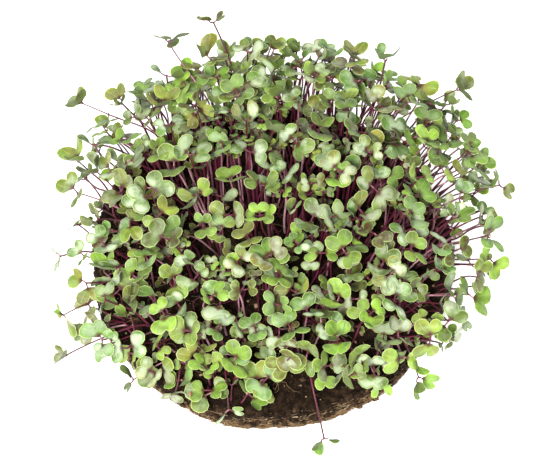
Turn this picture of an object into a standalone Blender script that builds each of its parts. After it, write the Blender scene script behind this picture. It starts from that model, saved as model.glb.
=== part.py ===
"""A round block of soil, turned out of its tray, with a dense crop of red-stemmed brassica seedlings on it.

The origin is the middle of the flat underside, +Z is up, and +Y points to the back of the clump.
The seedlings grow in tufts. Each tuft is one body: a knot of roots in a hole in the soil, and the
stems with their leaf pairs that fan out of it.
"""

import math
import random

import bmesh
import bpy
import numpy as np
from mathutils import Matrix, Vector

# The block that everything grows in
BLOCK_RADIUS = 0.100
BLOCK_HEIGHT = 0.020
MAT_HEIGHT = 0.007
GAP = 0.0003
BLOCK_SIDES = 40
# Rounding of the edge at the foot and of the shoulder where the side turns into the top
FOOT_INSET = 0.0018
FOOT_ROUNDING = 0.0022
SHOULDER = 0.0020
SHOULDER_INSET = 0.0008
EDGE_ROUNDING = 0.0022
OUTLINE_WAVE = 0.0018
TOP_WAVE = 0.0008

# The knot of roots at the foot of a tuft
KNOT_RADIUS = 0.0036
KNOT_DEPTH = 0.0090
KNOT_CROWN = 0.0008
KNOT_SIDES = 6
KNOT_TAPER = 0.9
HOLE_GAP = 0.0004
DRILL_ABOVE = 0.004
ROOT_RING = 0.0014
ROOT_DEPTH = 0.0012
# How far a tuft's ring of stems is turned, in radians for each metre that its foot lies along X
RING_TURN = 300

# Where the tufts stand
TUFTS = 43
SOWN_RADIUS = 0.088
SOWING_JITTER = 0.0022
GOLDEN_ANGLE = math.radians(137.508)
SEED = 11
BARE_FROM, BARE_TO = math.radians(266), math.radians(297)
BARE_RADIUS = 0.072

# The canopy: reach and height of its rim, in twelve directions from +X round by +Y
CANOPY_REACH = (0.130, 0.131, 0.121, 0.115, 0.113, 0.124, 0.116, 0.121, 0.110, 0.101, 0.104, 0.122)
RIM_HEIGHT = (0.052, 0.058, 0.064, 0.066, 0.062, 0.055, 0.048, 0.038, 0.033, 0.034, 0.038, 0.046)
CROWN_HEIGHT = 0.074
RIM_INSET = 0.005
# The canopy's height falls from its crown to its rim with this power of the way out
CROWN_FLATNESS = 2.2
HEIGHT_SCATTER = 0.007
FAN_RADIUS = 0.0160
SEEDLINGS_IN_TUFT = 5
TRIES = 260
# Partings where no leaf covers the stems: middle and radius of each, seen from above
PARTINGS = (
    ((0.024, 0.004), 0.013),
    ((0.062, -0.032), 0.015),
    ((0.074, 0.036), 0.010),
    ((-0.070, 0.048), 0.009),
)

# Seedlings that stand or hang away from the rest: degrees, reach, height, height of the stem's bend
STRAYS = (
    (184, 0.118, 0.030, 0.044),
    (211, 0.131, 0.029, 0.046),
    (205, 0.124, 0.037, 0.050),
    (-74, 0.116, 0.014, 0.052),
    (-31, 0.116, 0.034, 0.050),
    (-45, 0.114, 0.026, 0.046),
    (-58, 0.106, 0.028, 0.044),
    (-101, 0.104, 0.027, 0.044),
    (-110, 0.110, 0.022, 0.044),
    (-121, 0.106, 0.030, 0.044),
    (-133, 0.112, 0.026, 0.046),
    (119, 0.124, 0.070, 0.058),
    (105, 0.121, 0.078, 0.062),
    (39, 0.131, 0.065, 0.056),
    (12, 0.129, 0.053, 0.050),
    (146, 0.128, 0.062, 0.054),
)

# A seedling
STEM_RADIUS = 0.00080
STEM_TOP_RADIUS = 0.00068
STEM_RINGS = (0.0, 0.25, 0.62)
HUB_RADIUS = 0.00075
BLADE_THICKNESS = 0.00095
WAIST = 0.0009
BLADE_MIDDLE = 0.0060
NOTCH = 0.0090
# One side of a seed leaf's outline from the stem to its tip: distance along the leaf, distance out
LOBE = ((0.0036, 0.0042), (0.0072, 0.0070), (0.0109, 0.0046))
LEAF_SIZE = (0.84, 1.20)
# A leaf pair's blades rise from the stem by this angle and curl down along and across, per metre
LEAF_OPEN = (math.radians(8), math.radians(38))
CURL_ALONG = 12.0
CURL_ACROSS = 5.0
# How much a leaf pair turns from its stem's direction up to the light, and how far it then nods
LIGHT_PULL = 0.55
LARGEST_NOD = 0.38

# Spots on one half of a seed leaf, distance along and out, from which its clearance is measured
LEAF_SPOTS = (
    (0.0024, 0.0),
    (0.0050, 0.0018),
    (0.0050, 0.0044),
    (0.0082, 0.0020),
    (0.0076, 0.0060),
    (0.0098, 0.0046),
)
# How far apart seedlings keep: leaf from leaf, leaf from stem, stem from stem
LEAF_CLEAR = 0.0039
MIXED_CLEAR = 0.0030
STEM_CLEAR = 0.0022
# Stems of one tuft may touch over the first few of their samples, where they leave the knot
STEM_SAMPLES = 22
ROOT_SAMPLES = 4
# How far stems and leaves keep off the soil, and how far past the block's edge that still counts
SOIL_CLEAR = 0.0011
SOIL_STEPS = 50
EDGE_MARGIN = 0.0025

SOIL_COLOUR = (0.045, 0.028, 0.018, 1.0)
MAT_COLOUR = (0.23, 0.145, 0.070, 1.0)
LEAF_COLOUR = (0.26, 0.42, 0.13, 1.0)


def clear_scene():
    for obj in list(bpy.data.objects):
        bpy.data.objects.remove(obj, do_unlink=True)


def material(name, colour, roughness):
    made = bpy.data.materials.new(name)
    made.use_nodes = True
    shader = made.node_tree.nodes["Principled BSDF"]
    shader.inputs["Base Color"].default_value = colour
    shader.inputs["Roughness"].default_value = roughness
    shader.inputs["Metallic"].default_value = 0.0
    return made


def add_object(name, bm, *materials):
    mesh = bpy.data.meshes.new(name)
    bmesh.ops.recalc_face_normals(bm, faces=bm.faces)
    bm.to_mesh(mesh)
    bm.free()
    for each in materials:
        mesh.materials.append(each)
    obj = bpy.data.objects.new(name, mesh)
    bpy.context.scene.collection.objects.link(obj)
    return obj


# The growing rule


def around(values, azimuth):
    """A value given in evenly spaced directions, read smoothly between them."""
    turn = (azimuth / math.tau % 1.0) * len(values)
    low = int(turn)
    share = turn - low
    share = share * share * (3 - 2 * share)
    return values[low % len(values)] * (1 - share) + values[(low + 1) % len(values)] * share


def soil_top(x, y):
    """Height of the soil's wavy top."""
    wave = math.sin(x * 95 + 1.3) * math.cos(y * 80 - 0.4) + 0.6 * math.sin((x + y) * 150)
    return BLOCK_HEIGHT + TOP_WAVE * wave


def bezier(start, bend, end, t):
    return start * (1 - t) ** 2 + bend * (2 * t * (1 - t)) + end * t * t


def leaf_frame(seedling):
    """Matrix from a leaf pair's own axes, in metres, to the block's."""
    up = seedling["up"]
    across = Vector((math.cos(seedling["turn"]), math.sin(seedling["turn"]), 0.0))
    across = (across - up * across.dot(up)).normalized()
    side = up.cross(across)
    axes = Matrix((across, side, up)).transposed().to_4x4()
    return Matrix.Translation(seedling["tip"]) @ axes @ Matrix.Scale(seedling["size"], 4)


def blade_point(seedling, side, along, out):
    """A point of one seed leaf's middle surface, on the leaf pair's own axes."""
    rise = seedling["open"]
    curl = CURL_ALONG * along * along + CURL_ACROSS * out * out
    return Vector((side * along * math.cos(rise), out, along * math.sin(rise) - curl))


def stem_point(seedling, t):
    """A point of the stem as it is built: straight from ring to ring of a curve."""
    ends = (*STEM_RINGS, 1.0)
    i = max(n for n in range(len(STEM_RINGS)) if ends[n] <= t)
    low, high = (bezier(seedling["root"], seedling["bend"], seedling["tip"], e) for e in ends[i : i + 2])
    return low.lerp(high, (t - ends[i]) / (ends[i + 1] - ends[i]))


def samples_of(seedling):
    """Points that stand for a seedling's leaves and for its stem when clearances are measured."""
    frame = leaf_frame(seedling)
    leaves = [
        frame @ blade_point(seedling, side, along, half * out)
        for side in (-1, 1)
        for half in (-1, 1)
        for along, out in LEAF_SPOTS
    ]
    stem = [stem_point(seedling, (i + 0.5) / STEM_SAMPLES) for i in range(STEM_SAMPLES)]
    return np.array(leaves), np.array(stem)


def within(points, middle, reach):
    """Which points lie in the box round middle."""
    return (np.abs(points - middle) < reach).all(1)


def nearest(first, second):
    """The smallest distance between two sets of points."""
    if not len(first) or not len(second):
        return math.inf
    return float(np.sqrt(((first[:, None] - second[None]) ** 2).sum(2).min()))


def clears_soil(seedling, leaves):
    """Whether a seedling stays off the soil and the ground, apart from the hole that it grows in."""
    for x, y, z in leaves:
        over_block = math.hypot(x, y) < BLOCK_RADIUS + EDGE_MARGIN
        if z < (BLOCK_HEIGHT if over_block else 0.0) + 3 * SOIL_CLEAR:
            return False
    foot = seedling["foot"]
    for i in range(SOIL_STEPS):
        x, y, z = stem_point(seedling, i / SOIL_STEPS)
        over_block = math.hypot(x, y) < BLOCK_RADIUS + EDGE_MARGIN
        off_knot = math.hypot(x - foot.x, y - foot.y) > KNOT_RADIUS - STEM_RADIUS
        if over_block and off_knot and z < soil_top(x, y) + SOIL_CLEAR:
            return False
    return True


class Stand:
    """The seedlings placed so far, and whether a new one finds room among them."""

    def __init__(self):
        self.leaves = np.zeros((0, 3))
        self.stems = np.zeros((0, 3))
        self.tufts = np.zeros(0, int)

    def room_for(self, seedling):
        leaves, stem = samples_of(seedling)
        if not clears_soil(seedling, leaves):
            return False
        points = np.vstack((leaves, stem))
        middle = (points.min(0) + points.max(0)) / 2
        reach = (points.max(0) - points.min(0)) / 2 + LEAF_CLEAR
        other_leaves = self.leaves[within(self.leaves, middle, reach)]
        close = within(self.stems, middle, reach)
        own = self.tufts[close] == seedling["tuft"]
        other_stems = self.stems[close]
        own_stems = other_stems[own]
        return (
            nearest(leaves, other_leaves) > LEAF_CLEAR
            and nearest(leaves, other_stems) > MIXED_CLEAR
            and nearest(stem[1:], other_leaves) > MIXED_CLEAR
            and nearest(stem, other_stems[~own]) > STEM_CLEAR
            and nearest(stem[ROOT_SAMPLES:], own_stems) > STEM_CLEAR
        )

    def add(self, seedling):
        leaves, stem = samples_of(seedling)
        self.leaves = np.vstack((self.leaves, leaves))
        self.stems = np.vstack((self.stems, stem))
        self.tufts = np.append(self.tufts, np.full(len(stem), seedling["tuft"]))


def sow():
    """Feet of the tufts, on a sunflower spiral, clear of the bare patch at the front."""
    rng = random.Random(SEED)
    feet = []
    for i in range(TUFTS):
        radius = SOWN_RADIUS * math.sqrt((i + 0.5) / TUFTS)
        azimuth = i * GOLDEN_ANGLE
        x = radius * math.cos(azimuth) + rng.uniform(-1, 1) * SOWING_JITTER
        y = radius * math.sin(azimuth) + rng.uniform(-1, 1) * SOWING_JITTER
        if BARE_FROM < azimuth % math.tau < BARE_TO and radius > BARE_RADIUS:
            continue
        feet.append(Vector((x, y, soil_top(x, y))))
    return feet


def foot_ring(foot, k):
    """Where stem k of a tuft starts, low in the knot of roots."""
    angle = math.tau * k / SEEDLINGS_IN_TUFT + foot.x * RING_TURN
    offset = Vector((math.cos(angle), math.sin(angle), 0)) * ROOT_RING
    return foot + offset - Vector((0, 0, ROOT_DEPTH))


def draw_seedling(rng, tuft, foot, k):
    """One try at seedling k of a tuft: its tip, its bend and the way its leaves lie."""
    radius, azimuth = math.hypot(foot.x, foot.y), math.atan2(foot.y, foot.x)
    spread = around(CANOPY_REACH, azimuth) / (SOWN_RADIUS + 0.004)
    fan = FAN_RADIUS * rng.uniform(0.35, 1.25)
    fan_angle = math.tau * (k + rng.uniform(-0.5, 0.5)) / SEEDLINGS_IN_TUFT + foot.x * RING_TURN
    x = foot.x * spread + fan * math.cos(fan_angle)
    y = foot.y * spread + fan * math.sin(fan_angle)
    tip_azimuth = math.atan2(y, x)
    limit = around(CANOPY_REACH, tip_azimuth) - RIM_INSET
    tip_radius = min(math.hypot(x, y), limit * rng.uniform(0.94, 1.0))
    share = tip_radius / limit
    height = CROWN_HEIGHT + (around(RIM_HEIGHT, tip_azimuth) - CROWN_HEIGHT) * share ** CROWN_FLATNESS
    height += rng.uniform(-1.3, 1.0) * HEIGHT_SCATTER
    tip = Vector((tip_radius * math.cos(tip_azimuth), tip_radius * math.sin(tip_azimuth), height))
    root = foot_ring(foot, k)
    bend = root + (tip - root) * rng.uniform(0.16, 0.34)
    bend.z = root.z + (tip.z - root.z) * rng.uniform(0.52, 0.70)
    return finish_seedling(rng, tuft, foot, root, bend, tip)


def draw_stray(rng, tuft, foot, k, stray):
    """A seedling that stands away from the rest, as STRAYS gives it."""
    degrees, reach, height, bend_height = stray
    azimuth = math.radians(degrees + rng.uniform(-2, 2))
    tip = Vector((reach * math.cos(azimuth), reach * math.sin(azimuth), height))
    root = foot_ring(foot, k)
    bend = root + (tip - root) * rng.uniform(0.12, 0.24)
    bend.z = bend_height + rng.uniform(-0.002, 0.002)
    return finish_seedling(rng, tuft, foot, root, bend, tip)


def finish_seedling(rng, tuft, foot, root, bend, tip):
    """A seedling on its stem's curve, with the way that its leaf pair lies."""
    grown = (tip - bend).normalized()
    up = (grown + Vector((0, 0, LIGHT_PULL))).normalized()
    nod, nod_way = rng.uniform(0.0, LARGEST_NOD), rng.uniform(0, math.tau)
    up = (up + Vector((math.cos(nod_way), math.sin(nod_way), 0)) * nod).normalized()
    return {
        "tuft": tuft,
        "foot": foot,
        "root": root,
        "bend": bend,
        "tip": tip,
        "up": up,
        "turn": rng.uniform(0, math.tau),
        "size": rng.uniform(*LEAF_SIZE),
        "open": rng.uniform(*LEAF_OPEN),
    }


def in_parting(tip):
    return any(math.hypot(tip.x - x, tip.y - y) < radius for (x, y), radius in PARTINGS)


def grow():
    """Every tuft's foot and seedlings. A seedling that finds no room in its tries isn't there."""
    rng = random.Random(SEED + 1)
    feet = sow()
    tufts = [[] for _ in feet]
    stand = Stand()
    for stray in STRAYS:
        azimuth = math.radians(stray[0])
        edge = Vector((math.cos(azimuth), math.sin(azimuth))) * SOWN_RADIUS
        closest = min(range(len(feet)), key=lambda i: (feet[i].to_2d() - edge).length)
        place(rng, stand, tufts, feet, closest, stray)
    for k in range(SEEDLINGS_IN_TUFT):
        for i in range(len(feet)):
            if len(tufts[i]) <= k:
                place(rng, stand, tufts, feet, i, None)
    return [(foot, seedlings) for foot, seedlings in zip(feet, tufts) if len(seedlings) > 1]


def place(rng, stand, tufts, feet, i, stray):
    """Adds a seedling to tuft i where one of its tries finds room."""
    k = len(tufts[i])
    for _ in range(TRIES):
        if stray:
            seedling = draw_stray(rng, i, feet[i], k, stray)
        else:
            seedling = draw_seedling(rng, i, feet[i], k)
            if in_parting(seedling["tip"]):
                continue
        if stand.room_for(seedling):
            stand.add(seedling)
            tufts[i].append(seedling)
            return


# The solids


def seedling_body(seedling):
    """One closed body: a three-sided stem that runs into a leaf pair with thin edges."""
    bm = bmesh.new()
    frame = leaf_frame(seedling)

    def leaf_vert(side, along, out, lift=0.0):
        point = blade_point(seedling, side, along, out) + Vector((0, 0, lift))
        return bm.verts.new(frame @ point)

    half = BLADE_THICKNESS / 2
    waist = {end: leaf_vert(1, 0.0, end * WAIST) for end in (1, -1)}
    hub_top = leaf_vert(1, 0.0, 0.0, half)
    ring = [
        bm.verts.new(frame @ Vector((HUB_RADIUS * math.cos(a), HUB_RADIUS * math.sin(a), -half)))
        for a in (math.radians(90), math.radians(210), math.radians(330))
    ]
    for side, near_ring in ((1, ring[2]), (-1, ring[1])):
        rim = [waist[1]]
        rim += [leaf_vert(side, along, out) for along, out in LOBE]
        rim.append(leaf_vert(side, NOTCH, 0.0))
        rim += [leaf_vert(side, along, -out) for along, out in reversed(LOBE)]
        rim.append(waist[-1])
        top = leaf_vert(side, BLADE_MIDDLE, 0.0, half)
        under = leaf_vert(side, BLADE_MIDDLE, 0.0, -half)
        for a, b in zip(rim, rim[1:]):
            bm.faces.new((top, a, b))
            bm.faces.new((under, b, a))
        bm.faces.new((top, waist[-1], hub_top))
        bm.faces.new((top, hub_top, waist[1]))
        bm.faces.new((under, waist[1], ring[0]))
        bm.faces.new((under, ring[0], near_ring))
        bm.faces.new((under, near_ring, waist[-1]))
    bm.faces.new((waist[-1], ring[1], ring[2]))

    above = ring
    spoke = ring[0].co - seedling["tip"]
    for t in reversed(STEM_RINGS):
        centre = bezier(seedling["root"], seedling["bend"], seedling["tip"], t)
        ahead = bezier(seedling["root"], seedling["bend"], seedling["tip"], t + 0.05)
        tangent = (ahead - centre).normalized()
        spoke = (spoke - tangent * spoke.dot(tangent)).normalized()
        radius = STEM_RADIUS + (STEM_TOP_RADIUS - STEM_RADIUS) * t
        below = [
            bm.verts.new(centre + Matrix.Rotation(math.tau * i / 3, 3, tangent) @ spoke * radius)
            for i in range(3)
        ]
        for i in range(3):
            j = (i + 1) % 3
            bm.faces.new((above[i], above[j], below[j]))
            bm.faces.new((above[i], below[j], below[i]))
        above = below
    bm.faces.new(above)
    return bm


def knot_body(foot):
    """The knot of roots, a short tapered plug with its crown just over the soil."""
    bm = bmesh.new()
    depth = KNOT_DEPTH + KNOT_CROWN
    low_radius = KNOT_RADIUS * KNOT_TAPER
    bmesh.ops.create_cone(
        bm, cap_ends=True, segments=KNOT_SIDES, radius1=low_radius, radius2=KNOT_RADIUS, depth=depth
    )
    bmesh.ops.translate(bm, verts=bm.verts, vec=foot + Vector((0, 0, KNOT_CROWN - depth / 2)))
    return bm


def add_tuft(name, foot, seedlings, leaf):
    """The knot of roots joined with its seedlings by one Boolean union."""
    tuft = add_object(name, knot_body(foot), leaf)
    parts = bpy.data.collections.new(name + "_parts")
    for i, seedling in enumerate(seedlings):
        part = add_object(f"{name}_{i}", seedling_body(seedling), leaf)
        bpy.context.scene.collection.objects.unlink(part)
        parts.objects.link(part)
    union = tuft.modifiers.new("join", "BOOLEAN")
    union.operation = "UNION"
    union.operand_type = "COLLECTION"
    union.collection = parts
    union.solver = "EXACT"
    graph = bpy.context.evaluated_depsgraph_get()
    joined = bpy.data.meshes.new_from_object(tuft.evaluated_get(graph))
    tuft.modifiers.clear()
    tuft.data = joined
    for part in list(parts.objects):
        bpy.data.objects.remove(part, do_unlink=True)
    bpy.data.collections.remove(parts)
    joined.name = name


def outline_radius(radius, azimuth):
    """The block's outline, a little out of round."""
    wave = math.sin(3 * azimuth + 0.5) + 0.7 * math.sin(7 * azimuth + 2.0) + 0.5 * math.sin(13 * azimuth)
    return radius + OUTLINE_WAVE * wave / 2.2


def block_layer(sides, rings, top):
    """A closed round layer of the block.

    sides gives the inset and height of its outline on the way up, rings the sizes of the rings on its
    upper face, and top the height of that face.
    """
    bm = bmesh.new()
    outlines = [(BLOCK_RADIUS - inset, z) for inset, z in sides]
    outlines += [((BLOCK_RADIUS - sides[-1][0]) * share, None) for share in (1.0, *rings)]
    rows = []
    for ring_radius, z in outlines:
        row = []
        for k in range(BLOCK_SIDES):
            azimuth = math.tau * k / BLOCK_SIDES
            r = outline_radius(ring_radius, azimuth) - (EDGE_ROUNDING if z is None else 0.0)
            x, y = r * math.cos(azimuth), r * math.sin(azimuth)
            row.append(bm.verts.new((x, y, top(x, y) if z is None else z)))
        rows.append(row)
    for lower, upper in zip(rows, rows[1:]):
        for k in range(BLOCK_SIDES):
            j = (k + 1) % BLOCK_SIDES
            bm.faces.new((lower[k], lower[j], upper[j], upper[k]))
    bm.faces.new(list(reversed(rows[0])))
    crown = bm.verts.new((0, 0, top(0, 0)))
    for k in range(BLOCK_SIDES):
        bm.faces.new((rows[-1][k], rows[-1][(k + 1) % BLOCK_SIDES], crown))
    bmesh.ops.triangulate(bm, faces=[f for f in bm.faces if len(f.verts) == 4])
    return bm


def add_root_mat(mat):
    """The root-bound layer under the soil, flat on both faces."""
    sides = ((FOOT_INSET, 0.0), (0.0, FOOT_ROUNDING), (0.0, MAT_HEIGHT))
    add_object("root_mat", block_layer(sides, (0.5,), lambda x, y: MAT_HEIGHT), mat)


def add_soil(feet, soil):
    """The dark soil, with a plain hole for each tuft's knot of roots."""
    shoulder = BLOCK_HEIGHT - SHOULDER
    sides = ((0.0, MAT_HEIGHT + GAP), (0.0, shoulder - SHOULDER), (SHOULDER_INSET, shoulder))
    block = add_object("soil", block_layer(sides, (0.66, 0.33), soil_top), soil)
    drill = bmesh.new()
    above = DRILL_ABOVE
    for foot in feet:
        depth = KNOT_DEPTH + GAP + above
        made = bmesh.ops.create_cone(
            drill,
            cap_ends=True,
            segments=KNOT_SIDES,
            radius1=KNOT_RADIUS + HOLE_GAP,
            radius2=KNOT_RADIUS + HOLE_GAP,
            depth=depth,
        )
        bmesh.ops.translate(drill, verts=made["verts"], vec=foot + Vector((0, 0, above - depth / 2)))
    cutter = add_object("drill", drill)
    cut = block.modifiers.new("holes", "BOOLEAN")
    cut.operation = "DIFFERENCE"
    cut.object = cutter
    cut.solver = "EXACT"
    graph = bpy.context.evaluated_depsgraph_get()
    drilled = bpy.data.meshes.new_from_object(block.evaluated_get(graph))
    block.modifiers.clear()
    block.data = drilled
    bpy.data.objects.remove(cutter, do_unlink=True)


def main():
    """Clears the scene and builds the block's two layers and the tufts."""
    clear_scene()
    soil = material("soil", SOIL_COLOUR, 0.95)
    mat = material("root_mat", MAT_COLOUR, 0.95)
    leaf = material("leaf", LEAF_COLOUR, 0.55)
    tufts = grow()
    add_root_mat(mat)
    add_soil([foot for foot, _ in tufts], soil)
    for number, (foot, seedlings) in enumerate(tufts, 1):
        add_tuft(f"tuft_{number:02d}", foot, seedlings, leaf)
    print("seedlings", sum(len(s) for _, s in tufts), "tufts", len(tufts))


main()
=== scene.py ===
"""Microgreens on a round block of soil: the dressed model, its camera and its light."""

import math
import random

import bmesh
import bpy
import numpy as np
from mathutils import Euler, Matrix, Vector, noise

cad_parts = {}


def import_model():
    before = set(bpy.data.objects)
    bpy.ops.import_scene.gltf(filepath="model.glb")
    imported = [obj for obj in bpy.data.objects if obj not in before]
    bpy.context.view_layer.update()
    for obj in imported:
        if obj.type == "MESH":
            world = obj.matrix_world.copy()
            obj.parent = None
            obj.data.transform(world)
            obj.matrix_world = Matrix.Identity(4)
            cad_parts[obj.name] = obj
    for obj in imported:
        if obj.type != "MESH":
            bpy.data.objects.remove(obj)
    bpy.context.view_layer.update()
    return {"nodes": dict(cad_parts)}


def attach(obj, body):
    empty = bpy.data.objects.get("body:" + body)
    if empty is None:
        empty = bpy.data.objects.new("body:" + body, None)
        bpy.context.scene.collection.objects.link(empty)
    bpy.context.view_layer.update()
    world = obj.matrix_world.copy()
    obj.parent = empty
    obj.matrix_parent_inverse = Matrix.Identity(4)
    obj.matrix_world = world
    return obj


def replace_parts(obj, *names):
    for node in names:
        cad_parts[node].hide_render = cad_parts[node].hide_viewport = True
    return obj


SEED = 11

# The block, as it is packed
BLOCK_RADIUS = 0.100
BLOCK_HEIGHT = 0.020
MAT_HEIGHT = 0.007
GAP = 0.0003
OUTLINE_WAVE = 0.0018
TOP_WAVE = 0.0008

# The tufts' feet
KNOT_RADIUS = 0.0036
ROOT_RING = 0.0014
ROOT_DEPTH = 0.0012
RING_TURN = 300
TUFTS = 43
SOWN_RADIUS = 0.088
SOWING_JITTER = 0.0022
GOLDEN_ANGLE = math.radians(137.508)
BARE_FROM, BARE_TO = math.radians(266), math.radians(297)
BARE_RADIUS = 0.072

# The canopy: reach and height of its rim, in twelve directions from +X round by +Y
CANOPY_REACH = (0.130, 0.131, 0.121, 0.115, 0.113, 0.124, 0.116, 0.121, 0.110, 0.101, 0.104, 0.122)
RIM_HEIGHT = (0.052, 0.058, 0.064, 0.066, 0.062, 0.055, 0.048, 0.038, 0.033, 0.034, 0.038, 0.046)
CROWN_HEIGHT = 0.074
CANOPY_LIMIT = 0.0868
RIM_INSET = 0.005
CROWN_FLATNESS = 2.2
PARTINGS = (
    ((0.024, 0.004), 0.013),
    ((0.062, -0.032), 0.015),
    ((0.074, 0.036), 0.010),
    ((-0.070, 0.048), 0.009),
)

# A tuft's seedlings: the fan of their tips, their height, and how far out and up their stems bend
SEEDLINGS_IN_TUFT = 5
TRIES = 260
SPREAD_MARGIN = 0.004
FAN_RADIUS = 0.0160
FAN_SHARE = (0.35, 1.25)
RIM_SHARE = (0.94, 1.0)
HEIGHT_SCATTER = 0.007
HEIGHT_SHARE = (-1.3, 1.0)
BEND_OUT, BEND_UP = (0.16, 0.34), (0.52, 0.70)

# Seedlings that stand or hang away from the rest: degrees, reach, height, height of the stem's bend
STRAYS = (
    (184, 0.118, 0.030, 0.044),
    (211, 0.131, 0.029, 0.046),
    (205, 0.124, 0.037, 0.050),
    (-74, 0.116, 0.014, 0.052),
    (-31, 0.116, 0.034, 0.050),
    (-45, 0.114, 0.026, 0.046),
    (-58, 0.106, 0.028, 0.044),
    (-101, 0.104, 0.027, 0.044),
    (-110, 0.110, 0.022, 0.044),
    (-121, 0.106, 0.030, 0.044),
    (-133, 0.112, 0.026, 0.046),
    (119, 0.124, 0.070, 0.058),
    (105, 0.121, 0.078, 0.062),
    (39, 0.131, 0.065, 0.056),
    (12, 0.129, 0.053, 0.050),
    (146, 0.128, 0.062, 0.054),
)
STRAY_SWING = 2
STRAY_BEND_OUT = (0.12, 0.24)
STRAY_BEND_SCATTER = 0.002

# A seedling's stem and the way its leaf pair lies
STEM_RADIUS = 0.00080
STEM_RINGS = (0.0, 0.25, 0.62)
LEAF_SIZE = (0.84, 1.20)
LEAF_OPEN = (math.radians(8), math.radians(38))
CURL_ALONG = 12.0
CURL_ACROSS = 5.0
LIGHT_PULL = 0.55
LARGEST_NOD = 0.38

# Spots on one half of a seed leaf from which its clearance is measured, and the clearances kept
LEAF_SPOTS = (
    (0.0024, 0.0),
    (0.0050, 0.0018),
    (0.0050, 0.0044),
    (0.0082, 0.0020),
    (0.0076, 0.0060),
    (0.0098, 0.0046),
)
LEAF_CLEAR = 0.0039
MIXED_CLEAR = 0.0030
STEM_CLEAR = 0.0022
STEM_SAMPLES = 22
ROOT_SAMPLES = 4
SOIL_CLEAR = 0.0011
SOIL_STEPS = 50
EDGE_MARGIN = 0.0025

# Seedlings that fill the crop between the tufts, a layer at a time: how many, tries for each, share of
# the clearance kept, how far below the canopy's top, leaf size, how strongly they crowd to the rim (the
# smaller the number, the more) and the directions between which they stand, in degrees
FILLER_LAYERS = (
    (165, 20, 0.66, (0.000, 0.014), 1.02, 0.28, (0, 360)),
    (220, 18, 0.40, (0.000, 0.020), 0.90, 0.08, (15, 145)),
    (100, 18, 0.46, (0.000, 0.010), 1.00, 0.12, (205, 335)),
    (40, 20, 0.46, (0.000, 0.010), 1.00, 0.30, (250, 300)),
    (95, 12, 0.52, (0.008, 0.026), 0.76, 0.40, (0, 360)),
    (110, 8, 0.38, (0.020, 0.046), 0.50, 0.44, (0, 360)),
    (60, 20, 0.34, (0.000, 0.016), 0.92, 0.06, (72, 116)),
)
FILLER_REACH = 0.097
FILLER_MARGIN = 0.002
FILLER_LEAN = (0.86, 1.06)
FILLER_DRIFT = 0.006
FILLER_RIM_SHARE = (0.93, 1.0)
FILLER_LOWEST = (0.007, 0.014)
FILLER_BEND_OUT, FILLER_BEND_UP = (0.10, 0.34), (0.56, 0.86)

# How far inside the bare patch a filler's foot may stand, and how far its tip may hang over it
BARE_MARGIN = 0.004
BARE_OVERHANG = 0.021

# Places the fillers keep clear of, as the camera sees them at the canopy's height: middle, half width
# and half depth, and how many tries there are for slim seedlings behind each, whose stems show in it
CLEARINGS = (
    ((-0.014, 0.004), (0.027, 0.030), 130),
    ((-0.015, 0.042), (0.016, 0.009), 30),
    ((0.016, -0.011), (0.015, 0.015), 36),
    ((0.060, 0.008), (0.015, 0.023), 56),
    ((0.084, -0.023), (0.014, 0.021), 50),
    ((0.039, -0.034), (0.015, 0.014), 34),
    ((0.062, -0.062), (0.014, 0.014), 34),
    ((-0.008, -0.062), (0.016, 0.015), 36),
    ((-0.028, -0.079), (0.010, 0.008), 14),
    ((-0.056, 0.017), (0.012, 0.015), 34),
    ((-0.052, -0.036), (0.010, 0.011), 24),
    ((0.038, 0.012), (0.014, 0.016), 34),
    ((-0.114, -0.029), (0.020, 0.048), 0),
    ((-0.072, 0.052), (0.018, 0.012), 0),
)

# Slim seedlings: how far aside of a clearing's middle, in half widths, and behind it their feet stand,
# how much nearer the block's middle the feet are than the tips, how far below the canopy and behind
# the clearing the tips are, and what share of the clearances they keep
SLIM_ASIDE = 1.1
SLIM_BEHIND = (0.008, 0.036)
SLIM_FOOT_X, SLIM_FOOT_Y = 0.90, 0.92
SLIM_DROP = (0.004, 0.016)
SLIM_TIP_BEHIND = (0.0, 0.012)
SLIM_TIP_DRIFT = 0.004
SLIM_BEND_OUT, SLIM_BEND_UP = (0.10, 0.30), (0.5, 0.8)
SLIM_LEAF = 0.45
SLIM_EASE = 0.25

# Seed leaf forms: lobe radius, lobe spread, second lobe's share, cup, fold and droop
LEAF_FORMS = (
    (0.0039, 0.0037, 1.00, -0.0005, 0.12, 12.0),
    (0.0040, 0.0036, 0.90, 0.0012, 0.42, 10.0),
    (0.0038, 0.0038, 1.00, -0.0009, -0.20, 22.0),
    (0.0042, 0.0037, 0.95, -0.0006, 0.30, 8.0),
    (0.0039, 0.0038, 0.84, -0.0008, 0.04, 24.0),
    (0.0037, 0.0036, 1.00, 0.0003, 0.80, 4.0),
)
LOBE_MIDDLE = 0.0064
LEAF_FOOT = 0.0015
MIDRIB_AT = (0.0036, 0.0059)
LOBE_STEPS = 8
LOBE_FROM_FOOT = math.radians(204)
INNER_SHARE = 0.58
LEAF_THICKNESS = 0.00042
MIDRIB_DEPTH = 0.00014

# How single seed leaves differ from their pair: rise, twist about their own axes, and size
LEAF_TRIES = 12
RISE_SPREAD = 0.30
LEAF_TWIST = (0.26, 0.08, 0.14)
LEAF_CORNERS = ((0.011, 0, 0), (0.008, 0.008, 0), (0.008, -0.008, 0))
LEAF_SHARE = (0.86, 1.04)
SMALL_LEAF, SMALL_LEAF_CHANCE = 0.78, 0.24
LEAF_RIPPLE, LEAF_RIPPLE_SCALE = 0.0015, 130.0

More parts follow.
